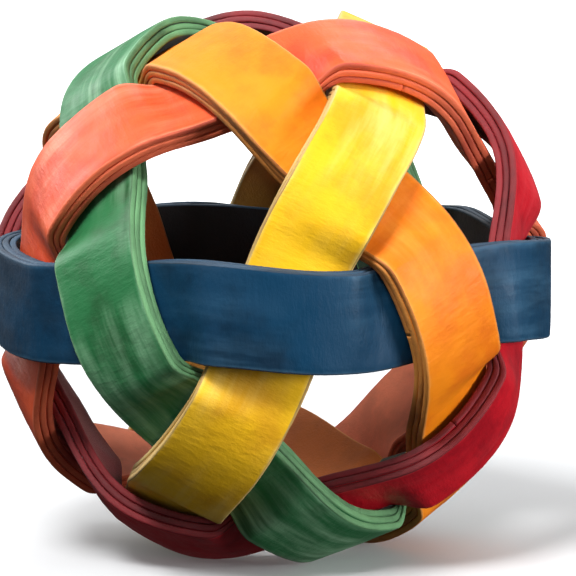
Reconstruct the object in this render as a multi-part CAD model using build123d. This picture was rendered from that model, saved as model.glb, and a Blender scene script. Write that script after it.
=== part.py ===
from build123d import *
import math
import os

# Open woven ball: six leather straps, each lying on a great circle of the ball.
# Every strap crosses the other five twice and passes over and under them in turn,
# which leaves twelve open pentagons and twenty closed triangles.
# Each strap is three plies of leather, laid one on the other.
# Millimetres, +Z up, origin at the centre of the ball, blue strap level.

# Driving dimensions.
BALL_DIAMETER = 75.0        # over the outer plies, through two opposite crossings
STRAP_WIDTH = 12.8
PLY_THICKNESS = 1.0
CROSSING_ROOM = 0.8         # the flat straps need this much more than their thickness to cross
SWING = 2.2                 # a strap swings sideways, away from each triangle,
SWING_FLATTENING = 1.2      # by the first less the second at most, with a flat top to the curve
TRIANGLE_DIVE = 30.0        # half length of the dive beside a triangle, in degrees of phase
PENTAGON_DIVE = 85.0        # half length of the dive beside a pentagon, in degrees of phase
END_GAP = 0.4               # between the two butted ends of a ply

# The weave repeats five times round a strap, so the phase turns five times as fast as the strap.
REPEATS = 5
FIRST_OVER = 36.0           # azimuth of a crossing where the level strap lies on top
STEP = 2.0                  # between two points of an edge rail, in degrees round the strap

# Upper end of each strap's own axis, as an azimuth. The level strap's axis is +Z.
AXIS_AZIMUTH = {"red": -126.0, "green": -54.0, "amber": 18.0, "orange": 90.0, "yellow": 162.0}
AXIS_ELEVATION = math.degrees(math.atan(0.5))

# Plies from the outside in, each with the phase where its two ends meet.
# The outer ends meet under a crossing strap and the inner ends on top of one, out of sight.
PLIES = {"outer": 180.0, "middle": 540.0, "inner": 360.0}

STRAP_THICKNESS = PLY_THICKNESS * len(PLIES)
RISE = (STRAP_THICKNESS + CROSSING_ROOM) / 2
MIDDLE_RADIUS = (BALL_DIAMETER - STRAP_THICKNESS) / 2 - RISE


def smooth_step(position):
    """Goes from -1 to 1 with no kink, and is level outside that span."""
    x = max(-1.0, min(1.0, position))
    return (15 * x - 10 * x**3 + 3 * x**5) / 8


def edge_height(phase):
    """Height of the upper edge over the middle radius: high at 0, low at 180 degrees."""
    turn = phase % 360
    if turn < 180:
        return -RISE * smooth_step((turn - 90) / TRIANGLE_DIVE)
    return RISE * smooth_step((turn - 270) / PENTAGON_DIVE)


def swing(phase):
    """Sideways place of the strap's centre line, upwards."""
    wave = math.sin(math.radians(phase))
    return -wave * (SWING - SWING_FLATTENING * wave**2)


def rail_point(azimuth, side, offset):
    """A point on one edge of the level strap: side is 1 above, -1 below, offset is outward."""
    phase = REPEATS * (azimuth - FIRST_OVER)
    radius = MIDDLE_RADIUS + edge_height(side * phase) + offset
    height = side * STRAP_WIDTH / 2 + swing(phase)
    angle = math.radians(azimuth)
    return (radius * math.cos(angle), radius * math.sin(angle), height)


def rail(azimuths, side, offset):
    """One long edge of a ply, as a spline whose parameter is the azimuth."""
    points = [rail_point(azimuth, side, offset) for azimuth in azimuths]
    return Edge.make_spline(points, parameters=azimuths)


def end_face(azimuth, outside, inside):
    """The cut end of a ply, a flat quadrilateral across the strap."""
    corners = [
        rail_point(azimuth, 1, outside),
        rail_point(azimuth, -1, outside),
        rail_point(azimuth, -1, inside),
        rail_point(azimuth, 1, inside),
    ]
    return Face(Wire.make_polygon(corners, close=True))


def make_ply(layer, end_phase):
    """One ply of the level strap: a strip bent into a wavy ring, its two ends butted."""
    outside = STRAP_THICKNESS / 2 - layer * PLY_THICKNESS
    inside = outside - PLY_THICKNESS
    half_gap = math.degrees(END_GAP / 2 / MIDDLE_RADIUS)
    start = FIRST_OVER + end_phase / REPEATS + half_gap
    length = 360 - 2 * half_gap
    count = round(length / STEP)
    azimuths = [start + length * i / count for i in range(count + 1)]
    outer_top, outer_bottom = (rail(azimuths, side, outside) for side in (1, -1))
    inner_top, inner_bottom = (rail(azimuths, side, inside) for side in (1, -1))
    faces = [
        Face.make_surface_from_curves(outer_top, outer_bottom),
        Face.make_surface_from_curves(inner_top, inner_bottom),
        Face.make_surface_from_curves(outer_top, inner_top),
        Face.make_surface_from_curves(outer_bottom, inner_bottom),
        end_face(azimuths[0], outside, inside),
        end_face(azimuths[-1], outside, inside),
    ]
    return Solid(Shell(faces))


def swap_axis(azimuth):
    """The two-fold axis half way between +Z and another strap's axis.

    Half a turn about it carries the level strap onto that strap, over and under included.
    """
    tilt = math.radians((90 - AXIS_ELEVATION) / 2)
    angle = math.radians(azimuth)
    direction = (math.sin(tilt) * math.cos(angle), math.sin(tilt) * math.sin(angle), math.cos(tilt))
    return Axis((0, 0, 0), direction)


def main():
    os.makedirs("parts", exist_ok=True)
    for layer, (ply_name, end_phase) in enumerate(PLIES.items()):
        ply = make_ply(layer, end_phase)
        export_step(ply, f"parts/blue_strap_{ply_name}_ply.step")
        for colour, azimuth in AXIS_AZIMUTH.items():
            turned = ply.rotate(swap_axis(azimuth), 180)
            export_step(turned, f"parts/{colour}_strap_{ply_name}_ply.step")


main()
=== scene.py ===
import math

import bpy
from mathutils import Matrix, Vector, noise


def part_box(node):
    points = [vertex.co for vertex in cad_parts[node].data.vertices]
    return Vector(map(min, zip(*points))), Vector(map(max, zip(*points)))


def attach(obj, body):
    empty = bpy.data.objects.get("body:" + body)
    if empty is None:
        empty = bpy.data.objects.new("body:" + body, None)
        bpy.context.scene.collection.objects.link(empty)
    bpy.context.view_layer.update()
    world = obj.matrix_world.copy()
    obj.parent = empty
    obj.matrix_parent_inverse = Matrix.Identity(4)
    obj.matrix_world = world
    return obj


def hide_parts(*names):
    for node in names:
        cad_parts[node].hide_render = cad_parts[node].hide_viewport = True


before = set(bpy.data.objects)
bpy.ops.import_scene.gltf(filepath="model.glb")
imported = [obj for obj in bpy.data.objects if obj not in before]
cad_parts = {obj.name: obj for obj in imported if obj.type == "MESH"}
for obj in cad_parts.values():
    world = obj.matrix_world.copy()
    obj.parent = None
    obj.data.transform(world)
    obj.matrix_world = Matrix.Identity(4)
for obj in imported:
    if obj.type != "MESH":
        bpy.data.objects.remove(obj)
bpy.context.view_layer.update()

MM = 0.001

# The weave, as in the part: six straps on great circles, each of three plies.
BALL_RADIUS = -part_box("blue_strap_outer_ply")[0].x      # a crossing of the level strap lies on -X
SWING = 0.8 * MM               # less than in the part, because these straps bend across their width
HALF_WIDTH = 6.4 * MM
PLY_PITCH = 0.96 * MM           # from one ply to the next
PLY_THICKNESS = 0.91 * MM       # leaves a dark line between two cut edges
CROSSING_ROOM = 0.8 * MM
STRAP_THICKNESS = 3 * PLY_PITCH
RISE = (STRAP_THICKNESS + CROSSING_ROOM) / 2
MIDDLE_RADIUS = BALL_RADIUS - STRAP_THICKNESS / 2 - RISE
REPEATS = 5
FIRST_OVER = 36.0
TRIANGLE_DIVE = 26.0
PENTAGON_DIVE = 86.0
TRIANGLE_EASE = 0.10             # share of a plain cosine in each dive
PENTAGON_EASE = 0.6
END_GAP = 0.12 * MM
HUG = 0.50 * MM                 # a strap under another bends across its width to follow the ball
CROWN = 0.10 * MM

# Where the axis of each tilted strap points, in degrees; the blue strap lies level.
AXIS_AZIMUTH = {
    "blue": None, "red": -126.0, "green": -54.0, "amber": 18.0, "orange": 90.0, "yellow": 162.0,
}
AXIS_ELEVATION = math.atan(0.5)
PLIES = {"outer": 180.0, "middle": 540.0, "inner": 360.0}     # phase where the two ends meet

# How finely the leather is meshed.
STATIONS = 540
EDGE_RADIUS = 0.26 * MM
ACROSS = 16
CORNER_STEPS = 3

# How uneven the leather is.
DRIFT = 0.22 * MM               # slow sideways wander of a ply
SHORT_DRIFT = 0.10 * MM
WIDTH_DRIFT = 0.18 * MM
LONG_WAVE = 0.14 * MM           # shared by the plies of a strap, so that they stay stacked
SHORT_WAVE = 0.03 * MM
EDGE_NIBBLE = 0.05 * MM


def smooth_step(position):
    """From -1 to 1 with no corner at either end."""
    x = max(-1.0, min(1.0, position))
    return (15 * x - 10 * x**3 + 3 * x**5) / 8


def edge_height(phase):
    """Height of the upper edge: high at 0, low at 180 degrees, steep beside the triangle at 90."""
    turn = phase % 360
    wave = math.cos(math.radians(turn))
    if turn < 180:
        dive = -smooth_step((turn - 90) / TRIANGLE_DIVE)
        return RISE * ((1 - TRIANGLE_EASE) * dive + TRIANGLE_EASE * wave)
    dive = smooth_step((turn - 270) / PENTAGON_DIVE)
    return RISE * ((1 - PENTAGON_EASE) * dive + PENTAGON_EASE * wave)


def swing(phase):
    """How far the middle of the strap is off its great circle, away from the triangles beside it."""
    return -SWING * math.sin(math.radians(phase))


def strap_point(azimuth, across, offset):
    """A point of the level strap: across runs from -1 to 1 over its width, offset is outward."""
    phase = REPEATS * (azimuth - FIRST_OVER)
    high = edge_height(phase)
    low = edge_height(-phase)
    height = (1 + across) / 2 * high + (1 - across) / 2 * low
    under = (1 - math.cos(math.radians(phase))) / 2
    height -= across**2 * (HUG * under + CROWN * (1 - under))
    radius = MIDDLE_RADIUS + height + offset
    z = across * HALF_WIDTH + swing(phase)
    angle = math.radians(azimuth)
    return radius, angle, z


def wander(azimuth, seed, detail):
    """A smooth random number that closes on itself round the strap."""
    angle = math.radians(azimuth)
    spot = Vector((math.cos(angle) * detail, math.sin(angle) * detail, seed * 7.31))
    return noise.noise(spot)


def section_outline():
    """The cut through one ply: (across, depth share, zone), clockwise with the grain side up."""
    round_share = EDGE_RADIUS / HALF_WIDTH
    depth_share = EDGE_RADIUS / PLY_THICKNESS
    outline = []
    for i in range(ACROSS + 1):
        across = -1 + 2 * i / ACROSS
        outline.append((across * (1 - round_share), 0.0, "grain"))
    corner = []
    for i in range(1, CORNER_STEPS + 1):
        turn = math.radians(90 * i / CORNER_STEPS)
        across = 1 - round_share + round_share * math.sin(turn)
        corner.append((across, depth_share * (1 - math.cos(turn))))
    corner.append((1.0, 0.5))
    for i in range(CORNER_STEPS):
        turn = math.radians(90 * i / CORNER_STEPS)
        across = 1 - round_share + round_share * math.cos(turn)
        corner.append((across, 1 - depth_share * (1 - math.sin(turn))))
    outline += [(across, depth, "edge") for across, depth in corner]
    for i in range(ACROSS + 1):
        across = 1 - 2 * i / ACROSS
        outline.append((across * (1 - round_share), 1.0, "flesh"))
    outline += [(-across, depth, "edge") for across, depth in reversed(corner)]
    return outline


OUTLINE = section_outline()
ZONES = {"grain": 0, "edge": 1, "flesh": 2}


def strap_turn(azimuth):
    """Half a turn about the two-fold axis that carries the level strap onto another."""
    if azimuth is None:
        return Matrix.Identity(4)
    tilt = (math.pi / 2 - AXIS_ELEVATION) / 2
    angle = math.radians(azimuth)
    level = math.sin(tilt)
    axis = Vector((level * math.cos(angle), level * math.sin(angle), math.cos(tilt)))
    return Matrix.Rotation(math.pi, 4, axis)


def ply_mesh(name, layer, end_phase, strap_seed, turn):
    """One leather ply as a closed mesh, with wandering edges and slight waves in its face."""
    seed = strap_seed * 3 + layer + 1
    half_gap = math.degrees(END_GAP / 2 / MIDDLE_RADIUS)
    start = FIRST_OVER + end_phase / REPEATS + half_gap
    length = 360 - 2 * half_gap
    top = STRAP_THICKNESS / 2 - layer * PLY_PITCH
    points, texture = [], []
    for i in range(STATIONS + 1):
        azimuth = start + length * i / STATIONS
        drift = DRIFT * wander(azimuth, seed, 1.6) + SHORT_DRIFT * wander(azimuth, seed + 40, 5.0)
        narrow = WIDTH_DRIFT * wander(azimuth, seed + 80, 2.2)
        for across, depth, _ in OUTLINE:
            radius, angle, z = strap_point(azimuth, across, top - depth * PLY_THICKNESS)
            wave = LONG_WAVE * wander(azimuth, strap_seed * 0.5 + across * 0.12, 5.2)
            wave += SHORT_WAVE * noise.noise(Vector((azimuth * 0.5, across * 3.0, seed * 3.7)))
            nibble = EDGE_NIBBLE * noise.noise(Vector((azimuth * 1.1, depth * 1.5, seed * 5.1 + across)))
            if abs(across) > 0.9:
                z += math.copysign(nibble, across)
            z += drift - narrow * across
            radius += wave
            point = Vector((radius * math.cos(angle), radius * math.sin(angle), z))
            points.append(turn @ point)
            texture.append((math.radians(azimuth - start) * MIDDLE_RADIUS / MM, across))
    count = len(OUTLINE)
    faces, zones = [], []
    for i in range(STATIONS):
        for j in range(count):
            k = (j + 1) % count
            here = i * count
            there = here + count
            faces.append((here + j, here + k, there + k, there + j))
            pair = {OUTLINE[j][2], OUTLINE[k][2]}
            zones.append(ZONES["edge"] if "edge" in pair else ZONES[OUTLINE[j][2]])
    last = STATIONS * count
    faces.append(tuple(reversed(range(count))))
    faces.append(tuple(range(last, last + count)))
    zones += [ZONES["edge"], ZONES["edge"]]
    mesh = bpy.data.meshes.new(name)
    mesh.from_pydata(points, [], faces)
    mesh.polygons.foreach_set("material_index", zones)
    mesh.polygons.foreach_set("use_smooth", [True] * len(faces))
    layer_uv = mesh.uv_layers.new(name="strap")
    for loop in mesh.loops:
        layer_uv.data[loop.index].uv = texture[loop.vertex_index]
    mesh.update()
    return mesh


class Shader:
    """A small helper to build a node material."""

    def __init__(self, name):
        self.material = bpy.data.materials.new(name)
        self.material.use_nodes = True
        self.tree = self.material.node_tree
        self.principled = self.tree.nodes["Principled BSDF"]

    def node(self, kind, **values):
        made = self.tree.nodes.new(kind)
        for key, value in values.items():
            setattr(made, key, value)
        return made

    def link(self, source, target):
        self.tree.links.new(source, target)

    def noise(self, vector, scale, detail=4.0, roughness=0.55):
        made = self.node("ShaderNodeTexNoise")
        made.inputs["Scale"].default_value = scale
        made.inputs["Detail"].default_value = detail
        made.inputs["Roughness"].default_value = roughness
        self.link(vector, made.inputs["Vector"])
        return made.outputs["Fac"]

    def ramp(self, value, low, high, out_low=0.0, out_high=1.0):
        """Bring value from low..high to out_low..out_high, with soft ends."""
        made = self.node("ShaderNodeMapRange", interpolation_type="SMOOTHSTEP")
        made.inputs["From Min"].default_value = low
        made.inputs["From Max"].default_value = high
        made.inputs["To Min"].default_value = out_low
        made.inputs["To Max"].default_value = out_high
        self.link(value, made.inputs["Value"])
        return made.outputs["Result"]

    def math(self, kind, first, second):
        made = self.node("ShaderNodeMath", operation=kind)
        for socket, value in zip(made.inputs, (first, second)):
            if isinstance(value, (int, float)):
                socket.default_value = value
            else:
                self.link(value, socket)
        return made.outputs[0]

    def mix(self, factor, first, second):
        made = self.node("ShaderNodeMix", data_type="RGBA")
        fits = {"Factor": "VALUE", "A": "RGBA", "B": "RGBA"}
        for key, value in (("Factor", factor), ("A", first), ("B", second)):
            socket = [s for s in made.inputs if s.name == key and s.type == fits[key]][0]
            if isinstance(value, (tuple, float, int)):
                socket.default_value = value
            else:
                self.link(value, socket)
        return [s for s in made.outputs if s.type == "RGBA"][0]

    def stretched(self, along, across):
        """Strap coordinates, in millimetres along and half widths across, scaled for streaks."""
        uv = self.node("ShaderNodeUVMap", uv_map="strap")
        mapping = self.node("ShaderNodeMapping")
        mapping.inputs["Scale"].default_value = (along, across, 1.0)
        self.link(uv.outputs["UV"], mapping.inputs["Vector"])
        return mapping.outputs["Vector"]

    def bump(self, height, strength, distance, normal=None):
        made = self.node("ShaderNodeBump")
        made.inputs["Strength"].default_value = strength
        made.inputs["Distance"].default_value = distance
        self.link(height, made.inputs["Height"])
        if normal is not None:
            self.link(normal, made.inputs["Normal"])
        return made.outputs["Normal"]


def rgb(red, green, blue):
    """A colour given as 0-255 on screen, made linear."""
    def linear(value):
        share = value / 255
        return share / 12.92 if share <= 0.04045 else ((share + 0.055) / 1.055) ** 2.4
    return (linear(red), linear(green), linear(blue), 1.0)


# What is seen of each dye on the grain side, along the cut edge and on the back of a ply. Each dye's
# share of the pale colour in the streaks stands for rubbed wear, and on the green mostly for a painted
# sheen.
DYES = {
    "blue": {
        "main": rgb(12, 55, 83), "deep": rgb(6, 30, 48), "pale": rgb(66, 106, 134), "wear_and_sheen": 0.5,
        "cut": rgb(40, 70, 94), "cut_dark": rgb(6, 14, 24), "flesh": rgb(6, 10, 18),
    },
    "green": {
        # The green's large pale share and mint pale colour are mostly a painted sheen, on top of its
        # wear.
        "main": rgb(42, 112, 66), "deep": rgb(34, 62, 34), "pale": rgb(158, 206, 166), "wear_and_sheen": 0.95,
        "cut": rgb(96, 146, 98), "cut_dark": rgb(14, 48, 26), "flesh": rgb(20, 52, 30),
    },
    "red": {
        "main": rgb(198, 20, 36), "deep": rgb(140, 10, 26), "pale": rgb(228, 76, 84), "wear_and_sheen": 0.3,
        "cut": rgb(132, 22, 30), "cut_dark": rgb(40, 4, 9), "flesh": rgb(110, 16, 22),
    },
    "orange": {
        "main": rgb(228, 86, 38), "deep": rgb(196, 54, 26), "pale": rgb(246, 158, 124), "wear_and_sheen": 0.5,
        "cut": rgb(222, 104, 66), "cut_dark": rgb(128, 20, 18), "flesh": rgb(255, 146, 108),
    },
    "amber": {
        "main": rgb(242, 136, 20), "deep": rgb(220, 102, 18), "pale": rgb(250, 178, 90), "wear_and_sheen": 0.25,
        "cut": rgb(216, 140, 60), "cut_dark": rgb(112, 46, 14), "flesh": rgb(206, 112, 44),
    },
    "yellow": {
        "main": rgb(236, 184, 28), "deep": rgb(202, 144, 26), "pale": rgb(246, 220, 132), "wear_and_sheen": 0.45,
        "cut": rgb(206, 172, 100), "cut_dark": rgb(118, 78, 26), "flesh": rgb(182, 126, 40),
    },
}


def grain_material(dye):
    """Dyed smooth leather: mottled dye, pale streaks along the strap (wear, and on the green mostly
    painted sheen), pale worn edges, fine pores.
    """
    tints = DYES[dye]
    s = Shader(f"{dye}_dyed_leather")
    place = s.node("ShaderNodeTexCoord").outputs["Object"]
    blotch = s.ramp(s.noise(place, 70.0, 6.0, 0.6), 0.42, 0.66)
    streak = s.ramp(s.noise(s.stretched(0.035, 1.6), 1.4, 4.0, 0.6), 0.36, 0.74)
    fade = s.ramp(s.noise(place, 45.0, 2.0), 0.36, 0.62)
    colour = s.mix(s.math("MULTIPLY", blotch, 0.85), tints["main"], tints["deep"])
    # Pale streaks: rubbed wear, and on the green mostly a painted sheen.
    streak_wear_and_sheen = s.math("MULTIPLY", s.math("MULTIPLY", streak, fade), tints["wear_and_sheen"])
    colour = s.mix(streak_wear_and_sheen, colour, tints["pale"])
    across = s.node("ShaderNodeSeparateXYZ")
    s.link(s.node("ShaderNodeUVMap", uv_map="strap").outputs["UV"], across.inputs[0])
    side = s.math("ABSOLUTE", across.outputs["Y"], 0.0)
    ragged = s.math("ADD", side, s.math("MULTIPLY", s.noise(place, 420.0, 4.0), 0.14))
    rubbed = s.math("MULTIPLY", s.ramp(ragged, 0.96, 1.08), s.ramp(s.noise(place, 90.0, 3.0), 0.35, 0.6))
    colour = s.mix(s.math("MULTIPLY", rubbed, 0.6), colour, tints["pale"])
    s.link(colour, s.principled.inputs["Base Color"])
    gloss = s.ramp(s.noise(place, 240.0, 5.0), 0.3, 0.7, 0.42, 0.58)
    s.link(gloss, s.principled.inputs["Roughness"])
    s.principled.inputs["Specular IOR Level"].default_value = 0.16
    s.principled.inputs["Sheen Weight"].default_value = 0.04
    s.principled.inputs["Sheen Roughness"].default_value = 0.45
    s.principled.inputs["Sheen Tint"].default_value = tints["pale"]
    pores = s.noise(place, 2600.0, 3.0, 0.6)
    crease = s.noise(s.stretched(1.1, 2.0), 1.0, 5.0, 0.6)
    normal = s.bump(crease, 0.35, 0.00035)
    s.link(s.bump(pores, 0.25, 0.00012, normal), s.principled.inputs["Normal"])
    return s.material


def edge_material(dye):
    """Cut leather: rough fibres, with darker streaks of dye along the edge."""
    tints = DYES[dye]
    s = Shader(f"{dye}_cut_edge")
    place = s.node("ShaderNodeTexCoord").outputs["Object"]
    soaked = s.ramp(s.noise(s.stretched(0.05, 6.0), 1.0, 5.0, 0.6), 0.40, 0.70)
    colour = s.mix(s.math("MULTIPLY", soaked, 0.85), tints["cut"], tints["cut_dark"])
    s.link(colour, s.principled.inputs["Base Color"])
    s.principled.inputs["Roughness"].default_value = 0.72
    fibres = s.noise(place, 1900.0, 4.0, 0.7)
    s.link(s.bump(fibres, 0.5, 0.0002), s.principled.inputs["Normal"])
    return s.material


def flesh_material(dye):
    """The suede back of a ply: dull, mottled dye."""
    flesh = DYES[dye]["flesh"]
    s = Shader(f"{dye}_flesh_side")
    place = s.node("ShaderNodeTexCoord").outputs["Object"]
    dark = tuple(0.5 * c for c in flesh[:3]) + (1.0,)
    mottle = s.ramp(s.noise(place, 150.0, 6.0, 0.65), 0.35, 0.7)
    s.link(s.mix(s.math("MULTIPLY", mottle, 0.5), flesh, dark), s.principled.inputs["Base Color"])
    s.principled.inputs["Roughness"].default_value = 0.85
    s.principled.inputs["Sheen Weight"].default_value = 0.15
    nap = s.noise(place, 3000.0, 4.0, 0.7)
    s.link(s.bump(nap, 0.5, 0.0002), s.principled.inputs["Normal"])
    return s.material


def make_straps():
    """Every ply of every strap, in place of its plain CAD node."""
    made = []
    for number, (dye, azimuth) in enumerate(AXIS_AZIMUTH.items()):
        materials = (grain_material(dye), edge_material(dye), flesh_material(dye))
        turn = strap_turn(azimuth)
        for layer, (ply, end_phase) in enumerate(PLIES.items()):
            name = f"{dye}_{ply}_leather"
            mesh = ply_mesh(name, layer, end_phase, number, turn)
            for material in materials:
                mesh.materials.append(material)
            piece = bpy.data.objects.new(name, mesh)
            bpy.context.scene.collection.objects.link(piece)
            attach(piece, "root")
            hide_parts(f"{dye}_strap_{ply}_ply")
            made.append(piece)
    return made


def lowest_point(pieces):
    return min(vertex.co.z for piece in pieces for vertex in piece.data.vertices)


def make_floor(height):
    """A pale floor that curves up into a backdrop, with a painted glow far from the ball so that it
    stays white, fading to a painted shade near the ball.
    """
    front = -1.2
    bend_start = 1.0
    bend_radius = 0.8
    bend_steps = 12
    half_width = 3.0
    top = 3.0
    profile = [(front, 0.0), (bend_start, 0.0)]
    for i in range(1, bend_steps + 1):
        turn = math.radians(90 * i / bend_steps)
        profile.append((bend_start + bend_radius * math.sin(turn), bend_radius * (1 - math.cos(turn))))
    profile.append((bend_start + bend_radius, top))
    points = [(x, y, height + z) for y, z in profile for x in (-half_width, half_width)]
    faces = [(2 * i, 2 * i + 1, 2 * i + 3, 2 * i + 2) for i in range(len(profile) - 1)]
    mesh = bpy.data.meshes.new("floor")
    mesh.from_pydata(points, [], faces)
    mesh.polygons.foreach_set("use_smooth", [True] * len(faces))
    s = Shader("pale_floor")
    s.principled.inputs["Base Color"].default_value = (0.60, 0.61, 0.62, 1.0)
    s.principled.inputs["Roughness"].default_value = 0.8
    s.principled.inputs["Emission Color"].default_value = (1.0, 1.0, 1.0, 1.0)
    far = s.node("ShaderNodeVectorMath", operation="LENGTH")
    s.link(s.node("ShaderNodeTexCoord").outputs["Object"], far.inputs[0])
    # Painted light: the floor's glow fades towards the ball, which leaves a painted shade round it on
    # top of its real shadow.
    painted_floor_glow = s.ramp(far.outputs["Value"], 0.08, 0.40, 0.05, 0.9)
    s.link(painted_floor_glow, s.principled.inputs["Emission Strength"])
    mesh.materials.append(s.material)
    floor = bpy.data.objects.new("floor", mesh)
    floor.visible_diffuse = False        # the ball stays dark underneath, as on a small lit table
    floor.visible_glossy = False
    bpy.context.scene.collection.objects.link(floor)


def make_light(name, place, power, size):
    """A round soft lamp aimed at the ball."""
    data = bpy.data.lights.new(name, "AREA")
    data.energy = power
    data.shape = "DISK"
    data.size = size
    lamp = bpy.data.objects.new(name, data)
    lamp.location = place
    lamp.rotation_euler = Vector(place).to_track_quat("Z", "Y").to_euler()
    bpy.context.scene.collection.objects.link(lamp)
    return lamp


def make_lights():
    """Key from the upper left, fill from the right, rim from behind, and a sky that is darker below."""
    make_light("key_softbox", (-0.36, -0.34, 0.70), 9.7, 0.30)
    make_light("fill_softbox", (0.62, -0.70, 0.10), 9.0, 0.4)
    make_light("rim_softbox", (0.35, 0.55, 0.60), 3.0, 0.5)
    sheen = make_light("sheen_softbox", (-0.47, 0.49, 0.41), 9.0, 0.6)
    sheen.visible_diffuse = False        # only its pale reflection shows, on the upper left
    world = bpy.data.worlds.new("studio")
    bpy.context.scene.world = world
    world.use_nodes = True
    tree = world.node_tree
    place = tree.nodes.new("ShaderNodeTexCoord")
    split = tree.nodes.new("ShaderNodeSeparateXYZ")
    sky = tree.nodes.new("ShaderNodeMapRange")
    sky.inputs["From Min"].default_value = -0.25
    sky.inputs["From Max"].default_value = 0.9
    sky.inputs["To Min"].default_value = 0.05
    sky.inputs["To Max"].default_value = 0.68
    tree.links.new(place.outputs["Generated"], split.inputs[0])
    tree.links.new(split.outputs["Z"], sky.inputs["Value"])
    tree.links.new(sky.outputs["Result"], tree.nodes["Background"].inputs["Strength"])
    tree.nodes["Background"].inputs["Color"].default_value = (1.0, 1.0, 1.0, 1.0)


def make_camera():
    """A long lens a little above the ball, rolled slightly and shifted off centre."""
    azimuth = math.radians(-20.0)
    elevation = math.radians(7.6)
    roll = math.radians(-0.8)
    distance = 15.0 * BALL_RADIUS
    level = math.cos(elevation)
    back = Vector((math.sin(azimuth) * level, -math.cos(azimuth) * level, math.sin(elevation)))
    data = bpy.data.cameras.new("camera")
    data.sensor_width = 36.0
    data.lens = 264.0
    data.shift_x = 0.029
    data.shift_y = -0.009
    camera = bpy.data.objects.new("camera", data)
    camera.location = back * distance
    aim = back.to_track_quat("Z", "Y").to_matrix()
    camera.rotation_euler = (aim @ Matrix.Rotation(roll, 3, "Z")).to_euler()
    bpy.context.scene.collection.objects.link(camera)
    bpy.context.scene.camera = camera


bpy.context.scene.view_settings.view_transform = "Standard"
straps = make_straps()
make_floor(lowest_point(straps))
make_lights()
make_camera()
